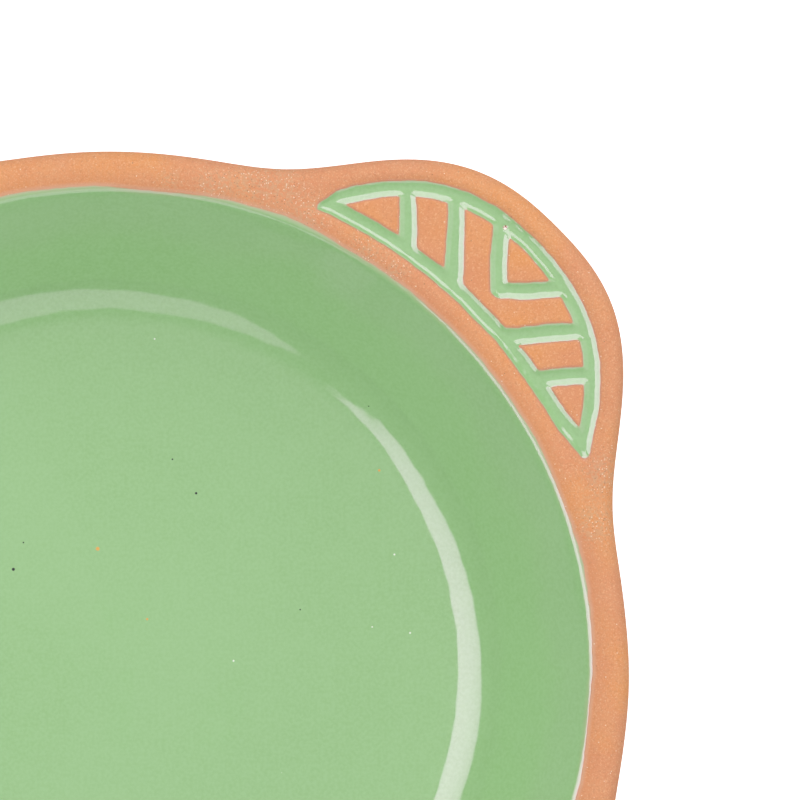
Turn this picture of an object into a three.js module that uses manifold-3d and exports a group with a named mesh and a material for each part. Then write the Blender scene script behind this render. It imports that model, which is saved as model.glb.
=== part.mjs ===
// A terracotta dish with four handles, a glazed well and a glazed tracery in each handle.
//
// Millimetres, +Z up. The origin is the centre of the foot ring, on the table.
// The handles point along the four diagonals, so the dish fits a square of its own diameter.
//
// Pieces: the fired clay body, the skin of glaze in its well, and one inlay of glaze
// in the pressed pattern of each handle.

import * as THREE from 'three';
import { mergeVertices } from 'three/addons/utils/BufferGeometryUtils.js';
import Module from 'manifold-3d';

// ---- Driving dimensions -------------------------------------------------------------

// Outline, seen from above
const RIM_RADIUS = 125;
const HANDLE_REACH = 26.8; // how far a handle's peak stands out past the rim
const HANDLE_SPREAD = THREE.MathUtils.degToRad(19.9); // where the reach has fallen to 1/e
const HANDLE_STEP = Math.PI / 2;
const FIRST_HANDLE = Math.PI / 4;

// Heights above the table
const RIM_TOP = 36;
const RIM_UNDERSIDE = 28.4;
const FLOOR_HEIGHT = 8.5; // glazed floor of the well
const WELL_EDGE_HEIGHT = 35.5; // where the glaze stops below the rim's crest
const BASE_UNDERSIDE = 2.5; // clay inside the foot ring

// Section
const WELL_EDGE_RADIUS = 116.3;
const WELL_EDGE_SLOPE = THREE.MathUtils.degToRad(14);
const WALL_SLOPE = Math.PI / 4;
const WELL_FILLET = 23; // between floor and wall
const WELL_SHOULDER = 3.5; // between wall and rim
const WALL_THICKNESS = 6;
const RIM_ROUND = 4.3; // half width of the rounded edge
const FOOT_INNER_RADIUS = 84.2;
const FOOT_OUTER_RADIUS = 89.5;
const FOOT_CHAMFER = 0.7;
const UNDERCUT = 1; // the fillet between the wall and the rim's underside

// Glaze
const GLAZE_THICKNESS = 0.6;
const GAP = 0.3; // between the glaze and the clay

// Pressed pattern of a handle
const PATTERN_INNER_RADIUS = 122.2; // its inner edge runs parallel to the rim
const PATTERN_PEAK = 145.5; // its outer edge, on the handle's own axis
const PATTERN_BEND = 0.0059; // how fast the outer edge falls away from the peak
const PATTERN_TIP_BEND = 4.4e-6;
const PATTERN_HALF_SPAN = 48; // a little past the tips, where the two edges cross
const PATTERN_BACK = 90; // any line across the handle that is inside the inner edge
const INNER_STROKE = 4.1;
const OUTER_STROKE = 3.85;
const BAR_WIDTH = 4;
const BAR_PLACES = [71.3, 82.3]; // centre lines of the bars that cross the pattern
const BAR_START = 70; // inside the pattern's inner edge
const CHEVRON_PLACE = 92.85; // centre lines of the two bars that meet in a corner
const GROOVE_DEPTH = 1.6;
const GLAZE_SINK = 0.7; // glaze in the grooves lies this far below the clay

// Fineness
const TURN_STEPS = 96;
const GLAZE_TURN_STEPS = 72;
const EDGE_STEPS = 8;
const CROWN_STEPS = 2;
const SHOULDER_STEPS = 3;
const FILLET_STEPS = 6;
const PATTERN_STEPS = 24;

// ---- Worked out from them -----------------------------------------------------------

const SLOPE_SIN = Math.sin(WALL_SLOPE);
const SLOPE_COS = Math.cos(WALL_SLOPE);
const SLOPE_TAN = Math.tan(WALL_SLOPE);
const CLAY_SINK = GLAZE_THICKNESS + GAP; // clay below the finished surface of the well
const CREST_RADIUS = RIM_RADIUS - RIM_ROUND - GAP;

// Centre of the shoulder's arc, the upper end of the straight wall, and where the floor's
// flat part ends so that the fillet runs smoothly into that wall.
const SHOULDER_RADIUS = WELL_EDGE_RADIUS + WELL_SHOULDER * Math.sin(WELL_EDGE_SLOPE);
const SHOULDER_HEIGHT = WELL_EDGE_HEIGHT - WELL_SHOULDER * Math.cos(WELL_EDGE_SLOPE);
const WALL_TOP_RADIUS = SHOULDER_RADIUS - WELL_SHOULDER * SLOPE_SIN;
const WALL_TOP_HEIGHT = SHOULDER_HEIGHT + WELL_SHOULDER * SLOPE_COS;
const WALL_RISE = WALL_TOP_HEIGHT - FLOOR_HEIGHT - WELL_FILLET * (1 - SLOPE_COS);
const FLOOR_RADIUS = WALL_TOP_RADIUS - WALL_RISE / SLOPE_TAN - WELL_FILLET * SLOPE_SIN;

const wasm = await Module();
wasm.setup();

// ---- Solids and meshes --------------------------------------------------------------

function toSolid(geometry) {
  const bare = new THREE.BufferGeometry();
  bare.setAttribute('position', geometry.getAttribute('position'));
  bare.setIndex(geometry.getIndex());
  const merged = mergeVertices(bare);
  const corners = merged.getIndex().array;
  const triangles = [];
  for (let i = 0; i < corners.length; i += 3) {
    const [a, b, c] = corners.slice(i, i + 3);
    if (a !== b && b !== c && c !== a) {
      triangles.push(a, b, c);
    }
  }
  const mesh = new wasm.Mesh({
    numProp: 3,
    vertProperties: Float32Array.from(merged.getAttribute('position').array),
    triVerts: Uint32Array.from(triangles),
  });
  return new wasm.Manifold(mesh);
}

function toGeometry(solid) {
  const mesh = solid.getMesh();
  const geometry = new THREE.BufferGeometry();
  geometry.setAttribute('position', new THREE.BufferAttribute(mesh.vertProperties, 3));
  geometry.setIndex(new THREE.BufferAttribute(mesh.triVerts, 1));
  geometry.computeVertexNormals();
  return geometry;
}

function turned(section, steps) {
  const geometry = new THREE.LatheGeometry(section, steps);
  geometry.rotateX(Math.PI / 2);
  return geometry;
}

function prism(shape, bottom, top) {
  const geometry = new THREE.ExtrudeGeometry(shape, { depth: top - bottom, bevelEnabled: false });
  geometry.translate(0, 0, bottom);
  return geometry;
}

// ---- The dish -----------------------------------------------------------------------

// How far the outline stands out past the plain rim, at an angle round the dish.
function handleReach(angle) {
  const turns = (angle - FIRST_HANDLE) / HANDLE_STEP;
  const offAxis = (turns - Math.round(turns)) * HANDLE_STEP;
  return HANDLE_REACH * Math.exp(-(Math.abs(offAxis / HANDLE_SPREAD) ** 3));
}

// An arc of the section, between two directions from its centre.
function arc(radius, height, reach, from, to, steps) {
  const curve = new THREE.EllipseCurve(radius, height, reach, reach, from, to, to < from);
  return curve.getPoints(steps);
}

// The well's surface from the axis outwards, `sink` below the finished glaze: floor,
// fillet, wall and shoulder. The shoulder runs on `past` the glaze's edge.
function wellLine(sink, past) {
  const quarter = Math.PI / 2;
  const edge = quarter + WELL_EDGE_SLOPE - past / WELL_SHOULDER;
  const centre = FLOOR_HEIGHT + WELL_FILLET;
  return [
    new THREE.Vector2(0, FLOOR_HEIGHT - sink),
    ...arc(FLOOR_RADIUS, centre, WELL_FILLET + sink, -quarter, WALL_SLOPE - quarter, FILLET_STEPS),
    ...arc(
      SHOULDER_RADIUS,
      SHOULDER_HEIGHT,
      WELL_SHOULDER - sink,
      quarter + WALL_SLOPE,
      edge,
      SHOULDER_STEPS,
    ),
  ];
}

// The outside of the section from the axis to the rim: recess, foot ring and wall.
function undersideLine() {
  const wallTop = WALL_TOP_RADIUS + (CLAY_SINK + WALL_THICKNESS) / SLOPE_SIN
    - (WALL_TOP_HEIGHT - RIM_UNDERSIDE) / SLOPE_TAN;
  const wallFoot = wallTop - (RIM_UNDERSIDE - BASE_UNDERSIDE) / SLOPE_TAN;
  return [
    new THREE.Vector2(0, BASE_UNDERSIDE),
    new THREE.Vector2(FOOT_INNER_RADIUS - BASE_UNDERSIDE, BASE_UNDERSIDE),
    new THREE.Vector2(FOOT_INNER_RADIUS - FOOT_CHAMFER, FOOT_CHAMFER),
    new THREE.Vector2(FOOT_INNER_RADIUS, 0),
    new THREE.Vector2(FOOT_OUTER_RADIUS, 0),
    new THREE.Vector2(FOOT_OUTER_RADIUS + FOOT_CHAMFER, FOOT_CHAMFER),
    new THREE.Vector2(wallFoot, BASE_UNDERSIDE),
    new THREE.Vector2(wallTop - UNDERCUT, RIM_UNDERSIDE - UNDERCUT * SLOPE_TAN),
  ];
}

// The rounded outer edge, from its underside over the outermost line to the top.
function edgeLine() {
  const edge = new THREE.EllipseCurve(
    RIM_RADIUS - RIM_ROUND,
    (RIM_TOP + RIM_UNDERSIDE) / 2,
    RIM_ROUND,
    (RIM_TOP - RIM_UNDERSIDE) / 2,
    -Math.PI / 2,
    Math.PI / 2,
  );
  return edge.getPoints(EDGE_STEPS);
}

// The crown of the rim from its crest inwards, then the well's clay back to the axis.
function insideLine() {
  const end = WELL_EDGE_SLOPE - GAP / WELL_SHOULDER;
  const radius = SHOULDER_RADIUS - WELL_SHOULDER * Math.sin(end);
  const height = SHOULDER_HEIGHT + WELL_SHOULDER * Math.cos(end);
  const crown = new THREE.QuadraticBezierCurve(
    new THREE.Vector2(CREST_RADIUS, RIM_TOP),
    new THREE.Vector2((CREST_RADIUS + radius) / 2, RIM_TOP),
    new THREE.Vector2(radius, height),
  );
  return [...crown.getPoints(CROWN_STEPS), ...wellLine(CLAY_SINK, GAP).reverse()];
}

// The turned section, whose outer edge is carried outwards by the handles.
function dishBlank() {
  const underside = undersideLine();
  const edge = edgeLine();
  const section = [...underside, ...edge, ...insideLine()];
  const geometry = turned(section, TURN_STEPS);
  const position = geometry.getAttribute('position');
  for (let i = 0; i < position.count; i += 1) {
    const place = (i % section.length) - underside.length;
    if (place >= 0 && place < edge.length) {
      const x = position.getX(i);
      const y = position.getY(i);
      const stretch = 1 + handleReach(Math.atan2(y, x)) / Math.hypot(x, y);
      position.setXY(i, x * stretch, y * stretch);
    }
  }
  return geometry;
}

function wellGlaze() {
  const top = wellLine(0, 0);
  const bottom = wellLine(GLAZE_THICKNESS, 0);
  return turned([...bottom, ...top.reverse()], GLAZE_TURN_STEPS);
}

// ---- The handles' pattern -----------------------------------------------------------

// A leaf shape on the first handle, inset from the pattern's own outline. Its outer edge
// is a flat curve across the handle and its inner edge an arc round the dish.
function leaf(innerInset, outerInset, bottom, top) {
  const outline = new THREE.Shape();
  outline.moveTo(PATTERN_BACK, -PATTERN_HALF_SPAN);
  for (let i = 0; i <= PATTERN_STEPS; i += 1) {
    const across = PATTERN_HALF_SPAN * ((2 * i) / PATTERN_STEPS - 1);
    const out = PATTERN_PEAK - PATTERN_BEND * across ** 2 - PATTERN_TIP_BEND * across ** 4;
    const fall = -2 * PATTERN_BEND * across - 4 * PATTERN_TIP_BEND * across ** 3;
    const length = Math.hypot(1, fall);
    outline.lineTo(out - outerInset / length, across + (outerInset * fall) / length);
  }
  outline.lineTo(PATTERN_BACK, PATTERN_HALF_SPAN);
  const blank = prism(outline, bottom, top);
  blank.rotateZ(FIRST_HANDLE);
  const core = new THREE.CylinderGeometry(
    PATTERN_INNER_RADIUS + innerInset,
    PATTERN_INNER_RADIUS + innerInset,
    3 * RIM_TOP,
    2 * TURN_STEPS,
  );
  core.rotateX(Math.PI / 2);
  return toSolid(blank).subtract(toSolid(core));
}

// One straight bar of the pattern, parallel to Y, from `start` out past the handle.
function bar(place, start, width, bottom, top) {
  const length = RIM_RADIUS - start;
  const geometry = new THREE.BoxGeometry(width, length, top - bottom);
  geometry.translate(place, start + length / 2, (top + bottom) / 2);
  return geometry;
}

// All the bars of the first handle. Each has a twin, mirrored in the handle's axis by half
// a turn about it.
function bars(width, bottom, top) {
  const crossing = BAR_PLACES.map((place) => bar(place, BAR_START, width, bottom, top));
  const corner = bar(CHEVRON_PLACE, CHEVRON_PLACE - width / 2, width, bottom, top);
  const oneSide = [...crossing, corner];
  const solids = oneSide.map((geometry) => {
    const twin = geometry.clone();
    twin.rotateZ(-FIRST_HANDLE);
    twin.rotateX(Math.PI);
    twin.translate(0, 0, bottom + top);
    twin.rotateZ(FIRST_HANDLE);
    return toSolid(geometry).add(toSolid(twin));
  });
  return solids.reduce((joined, solid) => joined.add(solid));
}

// The pattern of the first handle, made `clearance` narrower on every side.
function tracery(clearance, bottom, top) {
  const low = bottom - 1;
  const high = top + 1;
  const innerInset = INNER_STROKE - clearance;
  const outerInset = OUTER_STROKE - clearance;
  const windows = leaf(innerInset, outerInset, low, high)
    .subtract(bars(BAR_WIDTH - 2 * clearance, low - 1, high + 1));
  return leaf(clearance, clearance, bottom, top).subtract(windows);
}

function clayBody() {
  const groove = toGeometry(tracery(0, RIM_TOP - GROOVE_DEPTH, RIM_TOP + 1));
  let body = toSolid(dishBlank());
  for (let turn = 0; turn < 4; turn += 1) {
    const cutter = groove.clone().rotateZ(turn * HANDLE_STEP);
    body = body.subtract(toSolid(cutter));
  }
  return toGeometry(body);
}

function handleGlaze() {
  const bottom = RIM_TOP - GROOVE_DEPTH + GAP;
  return toGeometry(tracery(GAP, bottom, RIM_TOP - GLAZE_SINK));
}

// ---- Materials and assembly ---------------------------------------------------------

function terracotta() {
  return new THREE.MeshStandardMaterial({ color: 0xe6a074, roughness: 0.9, metalness: 0 });
}

function greenGlaze() {
  return new THREE.MeshStandardMaterial({ color: 0xa0c792, roughness: 0.1, metalness: 0 });
}

function named(name, geometry, material) {
  const mesh = new THREE.Mesh(geometry, material);
  mesh.name = name;
  return mesh;
}

const plate = new THREE.Group();
plate.add(named('clay_body', clayBody(), terracotta()));
plate.add(named('well_glaze', wellGlaze(), greenGlaze()));

const HANDLE_NAMES = ['back_right', 'back_left', 'front_left', 'front_right'];
HANDLE_NAMES.forEach((name, turn) => {
  const inlay = named(`handle_glaze_${name}`, handleGlaze(), greenGlaze());
  inlay.rotation.z = turn * HANDLE_STEP;
  plate.add(inlay);
});

export default plate;
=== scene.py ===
import math
from collections import namedtuple

import bmesh
import bpy
import numpy as np
from mathutils import Matrix, Vector
from mathutils.geometry import delaunay_2d_cdt


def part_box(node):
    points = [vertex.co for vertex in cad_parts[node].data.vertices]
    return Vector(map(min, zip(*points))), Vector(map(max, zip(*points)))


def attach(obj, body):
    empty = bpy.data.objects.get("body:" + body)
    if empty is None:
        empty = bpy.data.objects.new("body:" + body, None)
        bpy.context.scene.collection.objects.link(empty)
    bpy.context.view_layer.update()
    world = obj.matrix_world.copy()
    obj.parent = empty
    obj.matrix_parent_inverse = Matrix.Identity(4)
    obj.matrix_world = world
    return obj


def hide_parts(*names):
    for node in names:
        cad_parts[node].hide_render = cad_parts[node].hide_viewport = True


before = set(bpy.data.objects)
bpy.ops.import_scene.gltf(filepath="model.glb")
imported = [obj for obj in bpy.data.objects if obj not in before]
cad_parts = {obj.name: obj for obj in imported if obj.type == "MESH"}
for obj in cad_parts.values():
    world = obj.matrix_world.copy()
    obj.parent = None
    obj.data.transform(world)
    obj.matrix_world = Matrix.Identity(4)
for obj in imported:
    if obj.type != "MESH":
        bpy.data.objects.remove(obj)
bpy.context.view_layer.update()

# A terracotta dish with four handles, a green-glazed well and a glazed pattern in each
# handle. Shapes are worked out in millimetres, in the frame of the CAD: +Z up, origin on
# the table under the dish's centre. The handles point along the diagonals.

MM = 0.001

# ---- Sizes --------------------------------------------------------------------------

_, BODY_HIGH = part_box("clay_body")
RIM_RADIUS = BODY_HIGH.x / MM
RIM_TOP = BODY_HIGH.z / MM

HANDLE_REACH = 26.8
HANDLE_SPREAD = math.radians(19.9)
QUARTER = math.pi / 2
SQRT2 = math.sqrt(2)

FLOOR_HEIGHT = 8.5
WELL_EDGE_RADIUS = 116.3
WELL_EDGE_HEIGHT = RIM_TOP - 0.5
WELL_EDGE_SLOPE = math.radians(14)
WALL_SLOPE = math.radians(45)
WELL_FILLET = 23.0
WELL_SHOULDER = 3.5
RIM_ROUND = 4.3
RIM_THICKNESS = 7.6
CREST_RADIUS = RIM_RADIUS - RIM_ROUND

WALL_THICKNESS = 6.9
WALL_ROOT_DROP = 1.1  # how far the fillet under the rim comes down
WALL_BELLY = 1.1
FOOT_INNER_RADIUS = 84.2
FOOT_OUTER_RADIUS = 89.5
FOOT_FILLET = 2.6
FOOT_DEPTH = 2.5

# Glaze
GLAZE = 0.4  # thickness away from its edges
FILM = 0.04  # thickness at its very edge
SKIRT = 0.3  # how far the solid of a glaze reaches down into the clay
EDGE_OVERLAP = 2.6  # the clay's fine top sheet starts this far under the well's glaze
EDGE_SHIFT = 0.16  # of the well's glaze, on average, past WELL_EDGE_RADIUS

# The well's finished surface: where its straight wall meets the shoulder and the fillet
SHOULDER_RADIUS = WELL_EDGE_RADIUS + WELL_SHOULDER * math.sin(WELL_EDGE_SLOPE)
SHOULDER_HEIGHT = WELL_EDGE_HEIGHT - WELL_SHOULDER * math.cos(WELL_EDGE_SLOPE)
WALL_TOP_RADIUS = SHOULDER_RADIUS - WELL_SHOULDER * math.sin(WALL_SLOPE)
WALL_TOP_HEIGHT = SHOULDER_HEIGHT + WELL_SHOULDER * math.cos(WALL_SLOPE)
WALL_RISE = WALL_TOP_HEIGHT - FLOOR_HEIGHT - WELL_FILLET * (1 - math.cos(WALL_SLOPE))
FLOOR_RADIUS = (
    WALL_TOP_RADIUS
    - WALL_RISE / math.tan(WALL_SLOPE)
    - WELL_FILLET * math.sin(WALL_SLOPE)
)

# Where the well's glaze was wiped further in or less far: azimuth in degrees, shift in
# millimetres, and half width in degrees
WIPES = (
    (-5, -0.6, 6),
    (13, 0.35, 3),
    (33, 0.3, 9),
    (69, 0.6, 6),
    (84, -0.9, 5),
    (101, 0.5, 6),
)

# Pattern of a handle. `along` runs outwards on the handle's axis and `across` to its left.
# The outer edge is a polynomial in `across`, whose terms are the first five numbers. The
# inner stroke is nearly a circle round the dish's axis.
PATTERN_PEAK = 145.82
PATTERN_LEAN = 0.018
PATTERN_BEND = 0.00734
PATTERN_SKEW = 5e-6
PATTERN_TIP_BEND = 3.37e-6
PATTERN_END = 43.2  # the left tip is blunt: its edge falls back quickly from here
PATTERN_END_BEND = 2.5
OUTER_STROKE = 2.01  # half width of a stroke
INNER_STROKE = 1.97
INNER_RADIUS = 123.8
INNER_LEAN = -0.0046
TIP_LIFT = 0.0085  # the inner stroke's right end bends outwards
TIP_LIFT_START = 26
STROKE_BLEND = 5.0  # higher keeps the corners between strokes sharper
GLAZE_BLEND = 3.0  # the same for the surface of the glaze, which is rounder
STROKE = 2.05  # half width of a typical stroke, which turns a field into a distance

# Bars of the pattern. A bar runs along Y at x = place, or along X at y = place. It leans
# by `lean` per mm from its middle, bows by `bow` mm, is `half` mm to each side of its centre
# line and grows wider by `flare` per mm. Where `start` isn't 0, it starts there, at a corner.
Bar = namedtuple("Bar", "runs place middle lean bow half flare start")
BARS = (
    Bar("y", 70.80, 108.5, -0.005, 0.50, 2.10, -0.035, 0),
    Bar("y", 82.45, 104.0, 0.042, 0.20, 2.20, -0.024, 0),
    Bar("y", 93.50, 99.0, 0.023, -0.35, 2.10, -0.005, 92.3),
    Bar("x", 92.30, 101.5, 0.044, -0.40, 2.05, 0.010, 93.6),
    Bar("x", 81.40, 105.5, 0.077, 0.40, 2.15, -0.030, 0),
    Bar("x", 70.90, 108.5, 0.110, 0.30, 2.20, -0.003, 0),
)
BAR_HALF_LENGTH = 8.0
BAR_END = 0.9  # bars end this far before the middle of the strokes they run into

# Section of a groove and of the glaze in it
GROOVE_DEPTH = 1.35
GROOVE_SHOULDER = 0.75  # rounded clay outside the glaze
GROOVE_WALL = 2.5
GLAZE_SINK = 0.16  # glaze below the clay at its edge
GLAZE_HOLLOW = 0.6  # and how much deeper in mid stroke
GLAZE_HOLLOW_POWER = 0.85  # below 1 keeps the middle flatter
PATTERN_SINK = 0.6  # clay between the strokes, below the handle's crest
CREASE = 0.12  # depth of the line that the stamp's rim left outside the pattern
CREASE_OFFSET = 3.1
CREASE_WIDTH = 0.6
PINHOLE_DEPTH = 0.3
LEAST_GLAZE = 0.03  # thickness where a groove is too shallow to hold a pool

# Small bubbles that burst in the glaze of the first handle: x, y, radius
PINHOLES = ((94.6, 107.1, 0.6), (98.4, 78.5, 0.45), (80.6, 110.4, 0.3), (104.6, 73.2, 0.25))

# Grains that show in the well's glaze: x, y, radius, and which of the colours below
GRAINS = (
    (-23.3, 24.5, 0.42, "black"),
    (20.9, 43.2, 0.32, "black"),
    (15.1, 51.4, 0.22, "black"),
    (-20.9, 31.0, 0.2, "black"),
    (46.3, 15.1, 0.2, "black"),
    (62.6, 64.5, 0.16, "black"),
    (-2.9, 29.6, 0.5, "orange"),
    (65.3, 49.0, 0.33, "orange"),
    (9.2, 12.6, 0.3, "orange"),
    (73.0, 9.6, 0.25, "white"),
    (69.1, 28.6, 0.25, "white"),
    (30.2, 2.6, 0.25, "white"),
    (10.6, 80.6, 0.22, "white"),
    (63.8, 11.0, 0.2, "white"),
)
GRAIN_COLOURS = {
    "black": (0.03, 0.04, 0.03),
    "orange": (0.80, 0.42, 0.10),
    "white": (0.85, 0.90, 0.78),
}

# Patches where sand stuck to the clay: x, y, radius
GRIT_PATCHES = (
    (47.5, 109.5, 4.5),
    (61.0, 101.5, 4.0),
    (68.0, 96.5, 3.0),
    (14.0, 117.5, 2.5),
    (24.0, 116.5, 4.0),
    (32.0, 117.0, 4.5),
    (40.0, 116.0, 5.0),
    (118.0, 47.5, 4.5),
    (116.5, 36.0, 4.5),
    (104.5, 70.0, 3.0),
    (-72.0, 97.0, 8.0),
    (-118.0, -30.0, 9.0),
    (-60.0, -107.0, 7.0),
    (88.0, -84.0, 8.0),
    (20.0, -119.0, 6.0),
)
RIM_GRIT = 0.2  # and how much there is on the rest of the rim

# Fineness of the meshes
COLUMNS = 600
WELL_COLUMNS = 720
COARSE_STEP = 0.95
FINE_STEP = 0.33
GLAZE_STEP = 0.28

FAR = 9  # the distance that is stored where a glaze is out of reach


# ---- Small helpers ------------------------------------------------------------------

def smooth(value, low, high):
    """0 below low, 1 above high, and an even curve between them."""
    t = np.clip((value - low) / (high - low), 0, 1)
    return t * t * (3 - 2 * t)


def ripple(x, y, wavelength, seed, waves=9):
    """An uneven ripple of about unit height, the sum of a few plane waves."""
    random = np.random.default_rng(seed)
    total = np.zeros_like(x, dtype=float)
    for _ in range(waves):
        heading = random.uniform(0, math.tau)
        length = wavelength * random.uniform(0.7, 1.5)
        phase = random.uniform(0, math.tau)
        along = x * math.cos(heading) + y * math.sin(heading)
        total += np.sin(math.tau * along / length + phase)
    return total * math.sqrt(2 / waves) / 1.4


def polar(radius, angle):
    return radius * np.cos(angle), radius * np.sin(angle)


# ---- The dish's surfaces ------------------------------------------------------------

def outline(angle):
    """Radius of the dish's outer edge."""
    off_axis = np.mod(angle, QUARTER) - QUARTER / 2
    reach = HANDLE_REACH * np.exp(-np.abs(off_axis / HANDLE_SPREAD) ** 3)
    x, y = polar(RIM_RADIUS, angle)
    return RIM_RADIUS + reach + 0.12 * ripple(x, y, 33, seed=2)


def section_table():
    """Radius, height and slope of the finished top surface, from the axis to the crest."""
    fillet = np.linspace(0, WALL_SLOPE, 40)
    shoulder = np.linspace(WALL_SLOPE, WELL_EDGE_SLOPE, 24)
    crown = np.linspace(0, 1, 24)[1:]
    fall = RIM_TOP - WELL_EDGE_HEIGHT
    width = CREST_RADIUS - WELL_EDGE_RADIUS
    radius = np.concatenate((
        [0],
        FLOOR_RADIUS + WELL_FILLET * np.sin(fillet),
        SHOULDER_RADIUS - WELL_SHOULDER * np.sin(shoulder),
        WELL_EDGE_RADIUS + width * crown,
    ))
    height = np.concatenate((
        [FLOOR_HEIGHT],
        FLOOR_HEIGHT + WELL_FILLET * (1 - np.cos(fillet)),
        SHOULDER_HEIGHT + WELL_SHOULDER * np.cos(shoulder),
        RIM_TOP - fall * (1 - crown) ** 2,
    ))
    crown_slope = np.arctan(2 * fall * (1 - crown) / width)
    slope = np.concatenate(([0], fillet, shoulder, crown_slope))
    return radius, height, slope


SECTION_RADIUS, SECTION_HEIGHT, SECTION_SLOPE = section_table()


def finished_height(radius):
    return np.interp(radius, SECTION_RADIUS, SECTION_HEIGHT)


def upright(radius, thickness):
    """The height that a layer of that thickness takes up on the sloping surface."""
    return thickness / np.cos(np.interp(radius, SECTION_RADIUS, SECTION_SLOPE))


def well_edge(angle):
    """Radius at which the glaze in the well stops, which a hand has wiped clean."""
    x, y = polar(WELL_EDGE_RADIUS, angle)
    wander = EDGE_SHIFT + 0.35 * ripple(x, y, 70, seed=11) + 0.12 * ripple(x, y, 16, seed=12)
    wander += 0.06 * ripple(x, y, 3.5, seed=13)
    for azimuth, shift, half_width in WIPES:
        off = np.mod(np.degrees(angle) - azimuth + 180, 360) - 180
        wander += shift * np.exp(-((off / half_width) ** 2))
    return WELL_EDGE_RADIUS + wander


def first_quarter(x, y):
    """The same place in the quarter that the first handle is in."""
    turn = np.floor(np.arctan2(y, x) / QUARTER) * QUARTER
    return x * np.cos(turn) + y * np.sin(turn), y * np.cos(turn) - x * np.sin(turn)


def leaf_place(u, v):
    """Place across a handle, and the distance inwards from the pattern's outer edge."""
    along = (u + v) / SQRT2
    across = (v - u) / SQRT2
    past_end = np.maximum(0, across - PATTERN_END)
    edge = (
        PATTERN_PEAK
        + PATTERN_LEAN * across
        - PATTERN_BEND * across**2
        - PATTERN_SKEW * across**3
        - PATTERN_TIP_BEND * across**4
        - PATTERN_END_BEND * past_end**2
    )
    fall = (
        2 * PATTERN_BEND * across
        + 3 * PATTERN_SKEW * across**2
        + 4 * PATTERN_TIP_BEND * across**3
        + 2 * PATTERN_END_BEND * past_end
        - PATTERN_LEAN
    )
    return across, (edge - along) / np.hypot(1, fall)


def unsteady(x, y, seed):
    """How far the hand that drew the pattern strayed."""
    return 0.1 * ripple(x, y, 13, seed) + 0.04 * ripple(x, y, 5, seed + 1)


def bar_level(bar, u, v, clearance):
    """A bar's part in stroke_field. `clearance` is a squared distance past the bar's ends."""
    length, side = (v, u) if bar.runs == "y" else (u, v)
    step = length - bar.middle
    bow = bar.bow * np.maximum(0, 1 - (step / BAR_HALF_LENGTH) ** 2)
    off = side - bar.place - bar.lean * step - bow
    short = np.maximum(0, bar.start - length) ** 2
    half = bar.half + bar.flare * np.clip(step, -BAR_HALF_LENGTH, BAR_HALF_LENGTH)
    return 1 - (off**2 + clearance + short) / half**2


def stroke_field(x, y, blend=STROKE_BLEND):
    """1 along the middle of a stroke of the pattern, 0 at its edge, less on bare clay."""
    u, v = first_quarter(x, y)
    u = u + unsteady(x, y, seed=21)
    v = v + unsteady(x, y, seed=23)

    across, inside = leaf_place(u, v)
    lift = TIP_LIFT * np.maximum(0, -across - TIP_LIFT_START) ** 2
    inside_outer = inside - OUTER_STROKE
    inside_inner = np.hypot(u, v) - INNER_RADIUS - INNER_LEAN * across - lift
    past_outer = np.maximum(0, -inside_outer) ** 2
    past_inner = np.maximum(0, -inside_inner) ** 2
    before_outer = np.maximum(0, BAR_END - inside_outer) ** 2
    before_inner = np.maximum(0, BAR_END - inside_inner) ** 2

    levels = [
        1 - (inside_inner**2 + past_outer) / INNER_STROKE**2,
        1 - (inside_outer**2 + past_inner) / OUTER_STROKE**2,
    ]
    levels += [bar_level(bar, u, v, before_outer + before_inner) for bar in BARS]
    total = sum(np.exp(blend * level) for level in levels)
    return np.log(total + 1e-300) / blend


def painted_field(x, y):
    """stroke_field with the glaze's uneven edge. The glaze lies where it is above 0."""
    uneven = 0.035 * ripple(x, y, 3.4, seed=31) + 0.02 * ripple(x, y, 1.2, seed=32)
    return stroke_field(x, y) + uneven


def off_stroke(field):
    """Distance outwards from a stroke's edge, negative inside it."""
    return STROKE * (np.sqrt(np.maximum(0, 1 - field)) - 1)


def groove_share(field):
    """0 outside a groove and 1 where it is deepest."""
    return smooth(-off_stroke(field), -GROOVE_SHOULDER, GROOVE_WALL - GROOVE_SHOULDER)


def under_glaze(inland):
    """Thickness of the well's glaze at a distance from its edge."""
    return GLAZE * (1 - np.exp(-np.maximum(0, inland)))


def clay_top(x, y):
    """Height of the clay's upper surface, under the glaze and outside it."""
    radius = np.hypot(x, y)
    inland = well_edge(np.arctan2(y, x)) - radius
    height = finished_height(radius) - upright(radius, under_glaze(inland))
    height += 0.05 * ripple(x, y, 24, seed=41) + 0.012 * ripple(x, y, 6, seed=42)
    _, inside = leaf_place(*first_quarter(x, y))
    sunk = smooth(inside, -2.4, -0.1) * smooth(radius, INNER_RADIUS - 5, INNER_RADIUS - 1.4)
    crease = np.exp(-(((inside + CREASE_OFFSET) / CREASE_WIDTH) ** 2))
    crease = crease * smooth(radius, 126, 136)
    height -= PATTERN_SINK * sunk + CREASE * crease
    return height - GROOVE_DEPTH * groove_share(stroke_field(x, y))


# ---- Meshes -------------------------------------------------------------------------

def make_piece(name, node, points, faces, weld=True):
    """A smooth-shaded object from points in millimetres, standing for a CAD node.

    Welding joins points that meet and turns all the faces outwards."""
    mesh = bpy.data.meshes.new(name)
    mesh.from_pydata((np.asarray(points) * MM).tolist(), [], faces)
    if weld:
        work = bmesh.new()
        work.from_mesh(mesh)
        bmesh.ops.remove_doubles(work, verts=work.verts, dist=0.004 * MM)
        bmesh.ops.recalc_face_normals(work, faces=work.faces)
        work.to_mesh(mesh)
        work.free()
    mesh.shade_smooth()
    mesh.set_sharp_from_angle(angle=math.radians(50))
    piece = bpy.data.objects.new(name, mesh)
    bpy.context.scene.collection.objects.link(piece)
    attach(piece, "root")
    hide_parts(node)
    return piece


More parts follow.
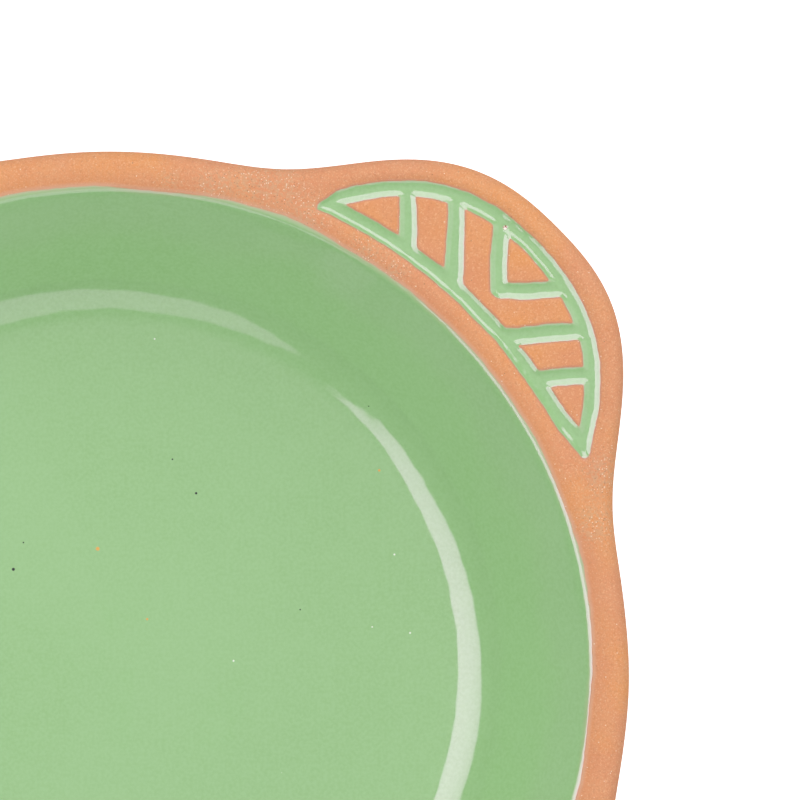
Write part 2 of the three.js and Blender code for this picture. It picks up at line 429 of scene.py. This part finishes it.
def points_of(piece):
    flat = np.empty(len(piece.data.vertices) * 3)
    piece.data.vertices.foreach_get("co", flat)
    return flat.reshape(-1, 3) / MM


def paint(piece, name, values):
    """Stores one number per vertex for the material to read."""
    attribute = piece.data.attributes.new(name, "FLOAT", "POINT")
    attribute.data.foreach_set("value", np.asarray(values, dtype=np.float32))


def ring_faces(rows, columns, start=0):
    """Quads between neighbouring rings of a stack of closed rings."""
    faces = []
    for row in range(rows - 1):
        low = start + row * columns
        for i in range(columns):
            j = (i + 1) % columns
            faces.append((low + i, low + j, low + columns + j, low + columns + i))
    return faces


def turned_piece(rings, start=0):
    """Points and faces of rings, each an array of (x, y, z) rows."""
    points = np.concatenate(rings)
    return points, ring_faces(len(rings), len(rings[0]), start)


def ring(radius, height, angle):
    x, y = polar(radius, angle)
    return np.stack((x, y, height + 0 * x), axis=1)


# ---- Clay body ----------------------------------------------------------------------

def plateau_edge(angle):
    """Radius at which the rim's and the handles' top starts to round over."""
    return outline(angle) - RIM_ROUND


def top_sheet(angle, inner_radius):
    """The clay's upper surface from under the well's glaze to where the edge rounds over.

    It is one sheet of triangles whose points lie closer together along the grooves."""
    inner = np.stack(polar(inner_radius, angle), axis=1)
    outer = np.stack(polar(plateau_edge(angle), angle), axis=1)

    def within(x, y, margin):
        radius = np.hypot(x, y)
        limit = plateau_edge(np.arctan2(y, x)) - margin
        return (radius > inner_radius + margin) & (radius < limit)

    def near_stroke(x, y):
        away = off_stroke(stroke_field(x, y))
        return (away > -0.9) & (away < GROOVE_SHOULDER + 0.4)

    radii = np.arange(inner_radius + COARSE_STEP, RIM_RADIUS + HANDLE_REACH, COARSE_STEP)
    turn = np.arange(WELL_COLUMNS) * math.tau / WELL_COLUMNS
    radius, direction = (grid.ravel() for grid in np.meshgrid(radii, turn))
    stagger = np.round(radius / COARSE_STEP) % 2 * math.pi / WELL_COLUMNS
    coarse = np.stack(polar(radius, direction + stagger))
    line = np.arange(-RIM_RADIUS, RIM_RADIUS, FINE_STEP)
    fine = np.stack([grid.ravel() for grid in np.meshgrid(line, line)])
    fine = fine[:, np.hypot(*fine) > INNER_RADIUS - 4]
    fine = fine[:, within(*fine, FINE_STEP)]
    fine = fine[:, near_stroke(*fine)]
    coarse = coarse[:, within(*coarse, 0.6 * COARSE_STEP) & ~near_stroke(*coarse)]
    flat = np.concatenate((inner, outer, coarse.T, fine.T))
    count = len(angle)
    loops = [
        (base + i, base + (i + 1) % count) for base in (0, count) for i in range(count)
    ]
    flat = [Vector(point) for point in flat.tolist()]
    keep_inside, epsilon, want_sources = 1, 1e-5, False
    corners, _, triangles, *_ = delaunay_2d_cdt(
        flat, loops, [], keep_inside, epsilon, want_sources
    )
    plan = np.array([tuple(corner) for corner in corners])
    triangles = np.array([tuple(triangle) for triangle in triangles])
    middle_x, middle_y = plan[triangles].mean(axis=1).T
    middle_radius = np.hypot(middle_x, middle_y)
    in_ring = middle_radius > inner_radius * math.cos(math.pi / count)
    in_outline = middle_radius < plateau_edge(np.arctan2(middle_y, middle_x))
    triangles = triangles[in_ring & in_outline]
    height = clay_top(plan[:, 0], plan[:, 1])
    return np.column_stack((plan, height)), triangles.tolist()


def rounded_edge_rings(angle):
    """Rings over the rounded edge, from the top sheet round to the underside."""
    edge = plateau_edge(angle)
    x, y = polar(edge, angle)
    unevenness = clay_top(x, y) - RIM_TOP
    middle = RIM_TOP - RIM_THICKNESS / 2
    rings = []
    for turn in np.linspace(QUARTER, -QUARTER, 14):
        height = middle + RIM_THICKNESS / 2 * math.sin(turn)
        height = height + unevenness * (1 + math.sin(turn)) / 2
        rings.append(ring(edge + RIM_ROUND * math.cos(turn), height, angle))
    return rings


def underside_rings(angle):
    """Rings from the rounded edge inwards: underside of the rim, wall, foot and base."""
    underside = RIM_TOP - RIM_THICKNESS
    lean = WALL_THICKNESS / math.sin(WALL_SLOPE) - (WALL_TOP_HEIGHT - underside)
    root = WALL_TOP_RADIUS + lean - 1
    root_height = underside - WALL_ROOT_DROP
    edge = plateau_edge(angle)
    x, y = polar(RIM_RADIUS, angle)
    rings = []

    for t in np.linspace(0, 1, 11)[1:]:
        radius = edge + (root - edge) * t
        fillet = np.maximum(0, 1 - (radius - root) / 4) ** 2
        uneven = 0.08 * math.sin(math.pi * t) * ripple(x, y, 22, seed=51)
        rings.append(ring(radius, underside - WALL_ROOT_DROP * fillet + uneven, angle))

    foot = FOOT_OUTER_RADIUS + 1.6
    for t in np.linspace(0, 1, 31)[1:]:
        radius = root + (foot - root) * t
        height = root_height + (FOOT_DEPTH - 0.6 - root_height) * t
        turning_marks = 0.07 * math.sin(23 * t) + 0.05 * math.sin(51 * t + 1)
        bulge = WALL_BELLY * math.sin(math.pi * t) + turning_marks
        bulge = bulge + 0.06 * ripple(x, y, 40, seed=52)
        rings.append(ring(radius + bulge, height - bulge, angle))

    base_radius = FOOT_INNER_RADIUS - FOOT_FILLET
    foot_section = (
        (FOOT_OUTER_RADIUS + 0.5, 0.9),
        (FOOT_OUTER_RADIUS, 0.35),
        (FOOT_OUTER_RADIUS - 0.5, 0.06),
        (FOOT_OUTER_RADIUS - 1.1, 0.0),
        (FOOT_INNER_RADIUS + 1.1, 0.0),
        (FOOT_INNER_RADIUS + 0.5, 0.08),
        (FOOT_INNER_RADIUS, 0.4),
        (FOOT_INNER_RADIUS - 0.7, 1.2),
        (FOOT_INNER_RADIUS - 1.5, 2.0),
        (base_radius, FOOT_DEPTH),
    )
    rings += [ring(radius, height, angle) for radius, height in foot_section]

    for t in np.linspace(0, 1, 11)[1:]:
        turning_marks = 0.06 * math.sin(19 * t) + 0.2 * math.sin(math.pi * t)
        rings.append(ring(base_radius * (1 - t), FOOT_DEPTH + turning_marks * (1 - t), angle))
    return rings


def hidden_rings(angle, inner_radius):
    """Rings of the clay under the well's glaze, from the top sheet to the axis."""
    radii = np.concatenate((
        np.linspace(inner_radius, FLOOR_RADIUS + 16, 4),
        np.linspace(FLOOR_RADIUS + 12, FLOOR_RADIUS, 4),
        np.linspace(0.7 * FLOOR_RADIUS, 0, 3),
    ))
    rings = []
    for radius in radii:
        x, y = polar(radius, angle)
        rings.append(ring(radius, clay_top(x, y), angle))
    return rings


def make_clay_body():
    angle = np.arange(COLUMNS) * math.tau / COLUMNS
    inner_radius = WELL_EDGE_RADIUS - EDGE_OVERLAP
    points, faces = top_sheet(angle, inner_radius)
    outside = rounded_edge_rings(angle) + underside_rings(angle)
    for rings in (outside, hidden_rings(angle, inner_radius)):
        more_points, more_faces = turned_piece(rings, start=len(points))
        points = np.concatenate((points, more_points))
        faces += more_faces
    body = make_piece("terracotta_body", "clay_body", points, faces)

    x, y, z = points_of(body).T
    radius = np.hypot(x, y)
    upper = z > RIM_TOP - RIM_THICKNESS / 2
    from_well = np.abs(radius - well_edge(np.arctan2(y, x)))
    from_stroke = np.maximum(0, off_stroke(painted_field(x, y)))
    paint(body, "from_well", np.where(upper, from_well, FAR))
    paint(body, "from_stroke", np.where(upper, from_stroke, FAR))

    grit = sum(
        np.exp(-((x - px) ** 2 + (y - py) ** 2) / size**2) for px, py, size in GRIT_PATCHES
    )
    _, inside = leaf_place(*first_quarter(x, y))
    on_rim = (from_stroke > 0.3) & ~((radius > INNER_RADIUS) & (inside > 0))
    grit += np.where(on_rim, RIM_GRIT * smooth(from_well, 0.5, 2.0), 0)
    paint(body, "grit", np.clip(grit, 0, 1) * upper)
    return body


# ---- Glaze in the well --------------------------------------------------------------

def make_well_glaze():
    angle = np.arange(WELL_COLUMNS) * math.tau / WELL_COLUMNS
    fillet = np.linspace(0, WALL_SLOPE, 22)
    shoulder = np.linspace(WALL_SLOPE, WELL_EDGE_SLOPE, 12)
    radii = np.concatenate((
        np.linspace(0, FLOOR_RADIUS, 16)[:-1],
        FLOOR_RADIUS + WELL_FILLET * np.sin(fillet),
        np.linspace(FLOOR_RADIUS + 17.5, WALL_TOP_RADIUS - 1, 10),
        SHOULDER_RADIUS - WELL_SHOULDER * np.sin(shoulder),
    ))
    edge = well_edge(angle)
    top, bottom = [], []
    for radius in radii:
        shift = (edge - WELL_EDGE_RADIUS) * smooth(radius, 106, WELL_EDGE_RADIUS)
        moved = radius + shift
        x, y = polar(moved, angle)
        clay = clay_top(x, y)
        thickness = upright(moved, under_glaze(edge - moved)) + FILM
        pooling = 0.02 * ripple(x, y, 34, seed=61) + 0.004 * ripple(x, y, 7, seed=62)
        height = clay + thickness + pooling * smooth(edge - moved, 0, 4)
        top.append(ring(moved, height, angle))
        bottom.append(ring(moved, clay - SKIRT, angle))
    points, faces = turned_piece(top + bottom[::-1][::3] + [bottom[0]])
    glaze = make_piece("glaze_in_well", "well_glaze", points, faces)
    x, y, _ = points_of(glaze).T
    paint(glaze, "inland", np.maximum(0, well_edge(np.arctan2(y, x)) - np.hypot(x, y)))
    paint(glaze, "pinhole", np.zeros(len(x)))
    return glaze


# ---- Glaze in the handles -----------------------------------------------------------

def pinholes(x, y):
    """1 in the middle of a pinhole and 0 outside it."""
    squares = (((x - px) ** 2 + (y - py) ** 2) / size**2 for px, py, size in PINHOLES)
    return sum(np.exp(-(square**2)) for square in squares)


def clip_to_positive(values, cells):
    """Splits the cells of a grid along the line where its values pass through zero.

    Returns the faces on the positive side, and the new points as (corner, corner, part)."""
    cuts, cut_list, faces = {}, [], []

    def cut(a, b):
        key = (min(a, b), max(a, b))
        if key not in cuts:
            cuts[key] = len(values) + len(cut_list)
            low, high = key
            cut_list.append((low, high, values[low] / (values[low] - values[high])))
        return cuts[key]

    for cell in cells:
        face = []
        for a, b in zip(cell, cell[1:] + cell[:1]):
            if values[a] > 0:
                face.append(a)
            if (values[a] > 0) != (values[b] > 0):
                face.append(cut(a, b))
        faces.append(tuple(face))
    return faces, cut_list


def stroke_patch(turn):
    """Plan of one handle's glaze: points (x, y) and the faces that cover its strokes."""
    a = np.arange(INNER_RADIUS - 12, PATTERN_PEAK + 2, GLAZE_STEP)
    b = np.arange(-48, 48, GLAZE_STEP)
    along, across = np.meshgrid(a, b, indexing="ij")
    direction = (turn + 0.5) * QUARTER
    x = along * math.cos(direction) - across * math.sin(direction)
    y = along * math.sin(direction) + across * math.cos(direction)
    x, y = x.ravel(), y.ravel()
    value = painted_field(x, y)

    nudge = 0.02
    slope_x = (painted_field(x + nudge, y) - painted_field(x - nudge, y)) / (2 * nudge)
    slope_y = (painted_field(x, y + nudge) - painted_field(x, y - nudge)) / (2 * nudge)
    steepness = np.maximum(1e-6, slope_x**2 + slope_y**2)
    near = np.abs(value) < 0.18 * GLAZE_STEP * np.sqrt(steepness)
    x = np.where(near, x - value * slope_x / steepness, x)
    y = np.where(near, y - value * slope_y / steepness, y)
    value = np.where(near, 1e-9, value)

    rows, columns = along.shape
    index = np.arange(rows * columns).reshape(rows, columns)
    cells = np.stack(
        (index[:-1, :-1], index[1:, :-1], index[1:, 1:], index[:-1, 1:]), axis=-1
    ).reshape(-1, 4)
    positive = (value[cells] > 0).sum(axis=1)
    whole = [tuple(cell) for cell in cells[positive == 4].tolist()]
    mixed = [tuple(cell) for cell in cells[(positive > 0) & (positive < 4)].tolist()]
    clipped, cuts = clip_to_positive(value.tolist(), mixed)
    faces = whole + [face for face in clipped if len(face) > 2]
    low, high, part = (np.array(column) for column in zip(*cuts))
    x = np.concatenate((x, x[low] + (x[high] - x[low]) * part))
    y = np.concatenate((y, y[low] + (y[high] - y[low]) * part))

    used = np.unique(np.concatenate([np.array(face) for face in faces]))
    renumber = np.zeros(len(x), dtype=int)
    renumber[used] = np.arange(len(used))
    faces = [tuple(renumber[list(face)].tolist()) for face in faces]
    return x[used], y[used], faces


def glaze_height(x, y):
    """Height of the glaze that lies hollow in a groove."""
    clay = clay_top(x, y)
    filled = clay + GROOVE_DEPTH * groove_share(stroke_field(x, y))
    hollow = 1 - np.maximum(0, 1 - stroke_field(x, y, GLAZE_BLEND)) ** GLAZE_HOLLOW_POWER
    pool = filled - GLAZE_SINK - GLAZE_HOLLOW * hollow
    pool += 0.012 * ripple(x, y, 9, seed=71) + 0.003 * ripple(x, y, 3, seed=72)
    return np.maximum(pool, clay + LEAST_GLAZE) - PINHOLE_DEPTH * pinholes(x, y)


def make_handle_glaze(turn, place):
    x, y, faces = stroke_patch(turn)
    count = len(x)
    top = np.column_stack((x, y, glaze_height(x, y)))
    bottom = np.column_stack((x, y, clay_top(x, y) - SKIRT))
    under = [tuple(count + corner for corner in reversed(face)) for face in faces]
    edges = [edge for face in faces for edge in zip(face, face[1:] + face[:1])]
    known = set(edges)
    side = [(b, a, count + a, count + b) for a, b in edges if (b, a) not in known]
    glaze = make_piece(
        f"glaze_on_{place}_handle",
        f"handle_glaze_{place}",
        np.concatenate((top, bottom)),
        faces + under + side,
        weld=False,
    )
    x, y, _ = points_of(glaze).T
    # The glaze in a stroke gains its full colour three times as near its edge as in the well.
    paint(glaze, "inland", np.maximum(0, -3 * off_stroke(painted_field(x, y))))
    paint(glaze, "pinhole", np.clip(pinholes(x, y), 0, 1))
    return glaze


# ---- Materials ----------------------------------------------------------------------

def colour(red, green, blue):
    return (red, green, blue, 1.0)


class Shader:
    """A material, with short calls that add nodes and join them up.

    `base` is the base colour so far."""

    def __init__(self, name):
        self.material = bpy.data.materials.new(name)
        self.material.use_nodes = True
        self.tree = self.material.node_tree
        self.surface = self.tree.nodes["Principled BSDF"]
        self.place = self.node("TexCoord").outputs["Object"]
        self.base = None

    def plug(self, socket, value):
        if isinstance(value, bpy.types.NodeSocket):
            self.tree.links.new(value, socket)
        else:
            socket.default_value = value

    def node(self, kind, **settings):
        node = self.tree.nodes.new("ShaderNode" + kind)
        for key, value in settings.items():
            setattr(node, key, value)
        return node

    def noise(self, size, detail=2.0, seed=0.0):
        """Noise between 0 and 1 whose features are about `size` millimetres across."""
        node = self.node("TexNoise", noise_dimensions="4D")
        self.plug(node.inputs["Vector"], self.place)
        node.inputs["W"].default_value = seed
        node.inputs["Scale"].default_value = 0.7 / (size * MM)
        node.inputs["Detail"].default_value = detail
        return node.outputs["Fac"]

    def math(self, operation, a, b=0.0):
        node = self.node("Math", operation=operation)
        self.plug(node.inputs[0], a)
        self.plug(node.inputs[1], b)
        return node.outputs[0]

    def spread(self, value, low, high, to_low=0.0, to_high=1.0):
        """Maps low..high smoothly to to_low..to_high, and holds the ends."""
        node = self.node("MapRange", interpolation_type="SMOOTHSTEP")
        self.plug(node.inputs["Value"], value)
        node.inputs["From Min"].default_value = low
        node.inputs["From Max"].default_value = high
        node.inputs["To Min"].default_value = to_low
        node.inputs["To Max"].default_value = to_high
        return node.outputs["Result"]

    def mix(self, amount, a, b):
        node = self.node("Mix", data_type="RGBA")
        self.plug(node.inputs["Factor"], amount)
        self.plug(node.inputs["A"], a)
        self.plug(node.inputs["B"], b)
        return node.outputs["Result"]

    def tint(self, amount, red, green, blue):
        """Mixes a colour into the base colour."""
        self.base = self.mix(amount, self.base, colour(red, green, blue))

    def attribute(self, name):
        return self.node("Attribute", attribute_name=name).outputs["Fac"]

    def specks(self, spacing, size, share, seed):
        """Round specks, one in `share` of the cells that are `spacing` millimetres apart."""
        shifted = self.node("VectorMath", operation="ADD")
        self.plug(shifted.inputs[0], self.place)
        shifted.inputs[1].default_value = (seed, seed * 0.7, seed * 0.3)
        cells = self.node("TexVoronoi")
        self.plug(cells.inputs["Vector"], shifted.outputs[0])
        cells.inputs["Scale"].default_value = 1 / (spacing * MM)
        reach = size / spacing
        spot = self.spread(cells.outputs["Distance"], 0.6 * reach, reach, 1.0, 0.0)
        parts = self.node("SeparateColor")
        self.plug(parts.inputs["Color"], cells.outputs["Color"])
        chosen = self.math("LESS_THAN", parts.outputs["Red"], share)
        return self.math("MULTIPLY", spot, chosen)

    def spot(self, x, y, radius):
        """1 on a round, soft-edged spot around x, y as seen from above, and 0 elsewhere."""
        flat = self.node("VectorMath", operation="MULTIPLY")
        self.plug(flat.inputs[0], self.place)
        flat.inputs[1].default_value = (1, 1, 0)
        away = self.node("VectorMath", operation="DISTANCE")
        self.plug(away.inputs[0], flat.outputs[0])
        away.inputs[1].default_value = (x * MM, y * MM, 0)
        radius = radius * MM
        return self.spread(away.outputs["Value"], 0.6 * radius, 1.2 * radius, 1.0, 0.0)

    def bump(self, height, depth, below=None):
        """Adds relief of `depth` millimetres."""
        node = self.node("Bump")
        node.inputs["Distance"].default_value = depth * MM
        self.plug(node.inputs["Height"], height)
        if below is not None:
            self.plug(node.inputs["Normal"], below)
        return node.outputs["Normal"]


def terracotta_material():
    shader = Shader("terracotta_clay")
    broad = shader.noise(20, detail=3)
    middling = shader.noise(4, detail=4, seed=1)
    grain = shader.noise(0.45, detail=3, seed=2)
    fine = shader.noise(0.28, detail=1, seed=3)
    shader.base = colour(0.705, 0.300, 0.152)
    shader.tint(shader.spread(broad, 0.4, 0.6), 0.760, 0.330, 0.128)
    shader.tint(shader.spread(middling, 0.3, 0.7, 0.0, 0.45), 0.74, 0.350, 0.180)
    shader.tint(shader.spread(grain, 0.25, 0.5, 0.4, 0.0), 0.52, 0.20, 0.09)
    shader.tint(shader.spread(fine, 0.5, 0.75, 0.0, 0.55), 0.86, 0.50, 0.30)

    # Darker beside the well's glaze as painted shade, paler at its edge, darker and pinker
    # beside the strokes
    from_well = shader.attribute("from_well")
    from_stroke = shader.attribute("from_stroke")
    # Painted shade: a darker band on the rim's inward slope beside the well's glaze
    shader.tint(shader.spread(from_well, 1.0, 4.6, 0.25, 0.0), 0.60, 0.245, 0.120)
    # Paler right at the well's glaze edge, partly where a film of it was wiped off and partly
    # a painted highlight
    shader.tint(shader.spread(from_well, 0.05, 1.3, 0.85, 0.0), 0.70, 0.40, 0.27)
    # Darker and pinker within 0.7 mm of a stroke's glaze
    shader.tint(shader.spread(from_stroke, 0.0, 0.7, 0.7, 0.0), 0.64, 0.31, 0.22)

    # Sand, pits and pale flakes, a few everywhere and many where there is grit
    grit = shader.attribute("grit")
    sand = shader.spread(shader.noise(0.5, detail=2, seed=4), 0.42, 0.6)
    sandy = shader.math("MULTIPLY", grit, sand)
    shader.tint(shader.math("MULTIPLY", sandy, 0.4), 0.60, 0.42, 0.27)
    few_pits = shader.specks(1.6, 0.16, 0.15, seed=5.0)
    many_pits = shader.math("MULTIPLY", shader.specks(0.6, 0.15, 0.45, seed=6.0), grit)
    pits = shader.math("MAXIMUM", few_pits, many_pits)
    shader.tint(shader.math("MULTIPLY", pits, 0.6), 0.22, 0.14, 0.08)
    few_flakes = shader.specks(1.4, 0.17, 0.3, seed=7.0)
    many_flakes = shader.math("MULTIPLY", shader.specks(0.6, 0.17, 0.45, seed=8.0), grit)
    flakes = shader.math("MAXIMUM", few_flakes, many_flakes)
    shader.tint(shader.math("MULTIPLY", flakes, 0.75), 0.96, 0.84, 0.66)

    shader.plug(shader.surface.inputs["Base Color"], shader.base)
    roughness = shader.spread(grain, 0.3, 0.7, 0.95, 0.82)
    shader.plug(shader.surface.inputs["Roughness"], roughness)
    shader.surface.inputs["Specular IOR Level"].default_value = 0.2
    relief = shader.bump(grain, 0.035)
    relief = shader.bump(middling, 0.15, relief)
    relief = shader.bump(shader.math("SUBTRACT", flakes, pits), 0.03, relief)
    shader.plug(shader.surface.inputs["Normal"], relief)
    return shader.material


def glaze_material():
    shader = Shader("pale_green_glaze")
    clouds = shader.noise(30, detail=3)
    mottle = shader.noise(2.2, detail=3, seed=1)
    grain = shader.noise(0.6, detail=2, seed=9)
    shader.base = colour(0.300, 0.528, 0.226)
    shader.tint(shader.spread(clouds, 0.3, 0.7), 0.316, 0.546, 0.244)
    shader.tint(shader.spread(mottle, 0.35, 0.7, 0.0, 0.25), 0.345, 0.575, 0.270)
    shader.tint(shader.spread(grain, 0.3, 0.7, 0.0, 0.6), 0.350, 0.585, 0.280)

    # The clay shows through the thin edge
    inland = shader.attribute("inland")
    shader.tint(shader.spread(inland, 0.2, 1.5, 0.85, 0.0), 0.44, 0.535, 0.30)
    shader.tint(shader.spread(inland, 0.0, 0.45, 0.8, 0.0), 0.58, 0.46, 0.29)

    dark = shader.specks(17, 0.22, 0.35, seed=2.0)
    rust = shader.specks(34, 0.34, 0.3, seed=3.0)
    pale = shader.specks(9, 0.2, 0.3, seed=4.0)
    shader.tint(shader.math("MULTIPLY", dark, 0.8), 0.10, 0.13, 0.07)
    shader.tint(shader.math("MULTIPLY", rust, 0.7), 0.75, 0.40, 0.12)
    shader.tint(shader.math("MULTIPLY", pale, 0.6), 0.72, 0.82, 0.62)
    for x, y, radius, kind in GRAINS:
        shader.tint(shader.spot(x, y, radius), *GRAIN_COLOURS[kind])

    pinhole = shader.attribute("pinhole")
    crater = shader.spread(shader.noise(0.35, detail=2, seed=5), 0.42, 0.55)
    inside = shader.mix(crater, colour(0.35, 0.13, 0.07), colour(0.90, 0.85, 0.68))
    base = shader.mix(shader.spread(pinhole, 0.25, 0.8), shader.base, inside)

    shader.plug(shader.surface.inputs["Base Color"], base)
    shader.surface.inputs["IOR"].default_value = 1.52
    roughness = shader.spread(mottle, 0.3, 0.7, 0.06, 0.1)
    shader.plug(shader.surface.inputs["Roughness"], roughness)
    relief = shader.bump(shader.noise(1.6, detail=1, seed=6), 0.0012)
    relief = shader.bump(shader.math("MAXIMUM", dark, pale), 0.02, relief)
    shader.plug(shader.surface.inputs["Normal"], relief)
    return shader.material


def floor_material():
    shader = Shader("pale_floor")
    shader.surface.inputs["Base Color"].default_value = colour(0.9, 0.9, 0.9)
    shader.surface.inputs["Roughness"].default_value = 1.0
    shader.surface.inputs["Specular IOR Level"].default_value = 0.0
    shader.surface.inputs["Emission Color"].default_value = colour(1, 1, 1)
    shader.surface.inputs["Emission Strength"].default_value = 0.8
    return shader.material


# ---- Studio -------------------------------------------------------------------------

TARGET = Vector((0, 0, RIM_TOP * MM))
LIGHT_DISTANCE = 1.2

CAMERA_DISTANCE = 2.5
VIEW_WIDTH = 0.1920  # of what the picture shows, at the height of the rim
VIEW_CENTRE = Vector((0.06984, 0.06504, 0))
CAMERA_ROLL = math.radians(0.3)



def steady(value):
    """An edge or a brightness that is the same all along a window."""
    return (0,), (value,)


# Windows that the glaze reflects, in degrees as seen from the dish. A window lies between two
# azimuths. Its lower and upper edge and its brightness may change along it, so each is a pair
# of azimuths and values. `fade` darkens it above and below WINDOW_MIDDLE.
WINDOW_MIDDLE = 55
Window = namedtuple("Window", "start end low high brightness blur fade", defaults=(0,))
WINDOWS = (
    Window(  # left
        148,
        231,
        low=((150, 178, 212, 224, 227), (31, 34, 41.5, 40, 50)),
        high=((150, 178, 200, 231), (65, 66.2, 64, 57.5)),
        brightness=((188, 215, 226), (7.7, 6.1, 4.8)),
        blur=0.6,
        fade=0.0007,
    ),
    Window(  # front
        238,
        302,
        low=((238, 252, 265, 280, 300), (36, 26, 24, 17, 14)),
        high=((238, 246, 268, 300), (40, 47, 50, 48)),
        brightness=steady(2.3),
        blur=2.0,
    ),
    Window(  # back
        38,
        128,
        low=((36, 62, 82), (45, 44, 28)),
        high=((36, 60, 90), (59, 61, 67)),
        brightness=steady(6.4),
        blur=1.2,
    ),
    Window(325, 359, steady(28), steady(60), steady(1.9), blur=3),  # right, two beside
    Window(1, 30, steady(28), steady(60), steady(1.9), blur=3),  # each other
    Window(236.5, 243, steady(-5), steady(6), steady(0.35), blur=0.4),  # a light's stand
)


def aimed(position, target, up):
    """A matrix at position whose -Z looks at target, with +Y as near to up as it can be."""
    back = (position - target).normalized()
    right = up.cross(back).normalized()
    matrix = Matrix((right, back.cross(right), back)).transposed().to_4x4()
    matrix.translation = position
    return matrix


def softbox(
    name, azimuth, elevation, half_width, half_height, brightness, distance=LIGHT_DISTANCE
):
    """A rectangular light, its place and size given in degrees as seen from the dish.

    A brightness of 1 looks as bright as the white of the picture."""
    azimuth, elevation = math.radians(azimuth), math.radians(elevation)
    direction = Vector((
        math.cos(elevation) * math.cos(azimuth),
        math.cos(elevation) * math.sin(azimuth),
        math.sin(elevation),
    ))
    data = bpy.data.lights.new(name, "AREA")
    data.shape = "RECTANGLE"
    data.size = 2 * distance * math.tan(math.radians(half_width))
    data.size_y = 2 * distance * math.tan(math.radians(half_height))
    data.energy = brightness * math.pi * data.size * data.size_y
    light = bpy.data.objects.new(name, data)
    up = Vector((0, 0, 1)) if elevation < math.radians(80) else Vector((0, 1, 0))
    light.matrix_world = aimed(TARGET + distance * direction, TARGET, up)
    bpy.context.scene.collection.objects.link(light)
    return light


def window_light(window, azimuth, elevation):
    """Brightness of a window, 0 outside it, for directions in degrees."""
    low, high, brightness = (
        np.interp(azimuth, *edge) for edge in (window.low, window.high, window.brightness)
    )
    blur = window.blur
    light = brightness * (1 - window.fade * (elevation - WINDOW_MIDDLE) ** 2)
    light = light * smooth(azimuth, window.start - blur, window.start + blur)
    light = light * smooth(azimuth, window.end + blur, window.end - blur)
    light = light * smooth(elevation, low - blur, low + blur)
    return light * smooth(elevation, high + blur, high - blur)


def studio_brightness(azimuth, elevation):
    """Brightness of the surroundings that glaze reflects, for directions in degrees."""
    room = 0.12 + 0.8 * smooth(elevation, 50, 72)
    table = 0.6 * smooth(elevation, 6, 1)
    return room + table + sum(window_light(window, azimuth, elevation) for window in WINDOWS)


def make_reflected_studio():
    """A dome that only reflections see."""
    columns, rows, radius = 720, 180, 2.0
    azimuth = np.arange(columns) * 360 / columns
    elevation = np.linspace(-2, 89.5, rows)
    across, up = np.meshgrid(azimuth, elevation)
    points = radius * np.stack((
        np.cos(np.radians(up)) * np.cos(np.radians(across)),
        np.cos(np.radians(up)) * np.sin(np.radians(across)),
        np.sin(np.radians(up)),
    ), axis=-1).reshape(-1, 3) + [0, 0, RIM_TOP * MM]
    mesh = bpy.data.meshes.new("reflected_studio")
    mesh.from_pydata(points.tolist(), [], ring_faces(rows, columns))
    brightness = mesh.attributes.new("brightness", "FLOAT", "POINT")
    brightness.data.foreach_set(
        "value", studio_brightness(across, up).ravel().astype(np.float32)
    )
    shader = Shader("studio_light")
    shader.material.cycles.emission_sampling = "NONE"
    glow = shader.node("Emission")
    glow.inputs["Color"].default_value = colour(1.0, 0.63, 1.04)
    shader.plug(glow.inputs["Strength"], shader.attribute("brightness"))
    output = shader.tree.nodes["Material Output"]
    shader.plug(output.inputs["Surface"], glow.outputs["Emission"])
    mesh.materials.append(shader.material)
    dome = bpy.data.objects.new("reflected_studio", mesh)
    dome.visible_camera = False
    dome.visible_diffuse = False
    dome.visible_shadow = False
    dome.visible_transmission = False
    bpy.context.scene.collection.objects.link(dome)


def make_lights():
    lights = (
        softbox("left", 185, 50, 20, 16, 1.15),
        softbox("back", 80, 24, 35, 10, 1.9),
        softbox("right", 5, 10, 35, 9, 1.35),
        softbox("overhead", 0, 90, 30, 30, 1.5, distance=2.2),
    )
    for light in lights:
        light.visible_glossy = False

    world = bpy.data.worlds.new("studio")
    world.use_nodes = True
    background = world.node_tree.nodes["Background"]
    background.inputs["Color"].default_value = colour(0.98, 0.99, 1.0)
    background.inputs["Strength"].default_value = 0.4
    bpy.context.scene.world = world


def make_floor():
    """A white floor just under the dish, which sends no light up at it."""
    half, low = 3.0, -0.05 * MM
    corners = [(-half, -half, low), (half, -half, low), (half, half, low), (-half, half, low)]
    mesh = bpy.data.meshes.new("floor")
    mesh.from_pydata(corners, [], [(0, 1, 2, 3)])
    mesh.materials.append(floor_material())
    floor = bpy.data.objects.new("floor", mesh)
    floor.visible_diffuse = False
    bpy.context.scene.collection.objects.link(floor)


def make_camera():
    """Stands above the dish's axis and is aimed a little off it, at the back right handle."""
    turn = Matrix.Rotation(CAMERA_ROLL, 3, "Z")
    data = bpy.data.cameras.new("camera")
    data.sensor_width = 36
    data.lens = data.sensor_width * CAMERA_DISTANCE / VIEW_WIDTH
    data.clip_end = 20
    camera = bpy.data.objects.new("camera", data)
    position = TARGET + Vector((0, 0, CAMERA_DISTANCE))
    target = TARGET + turn @ VIEW_CENTRE
    camera.matrix_world = aimed(position, target, turn @ Vector((0, 1, 0)))
    bpy.context.scene.collection.objects.link(camera)
    bpy.context.scene.camera = camera


def main():
    make_camera()
    make_lights()
    make_reflected_studio()
    make_floor()
    clay = terracotta_material()
    green = glaze_material()
    make_clay_body().data.materials.append(clay)
    make_well_glaze().data.materials.append(green)
    for turn, place in enumerate(("back_right", "back_left", "front_left", "front_right")):
        make_handle_glaze(turn, place).data.materials.append(green)
    bpy.context.scene.view_settings.view_transform = "Standard"


main()
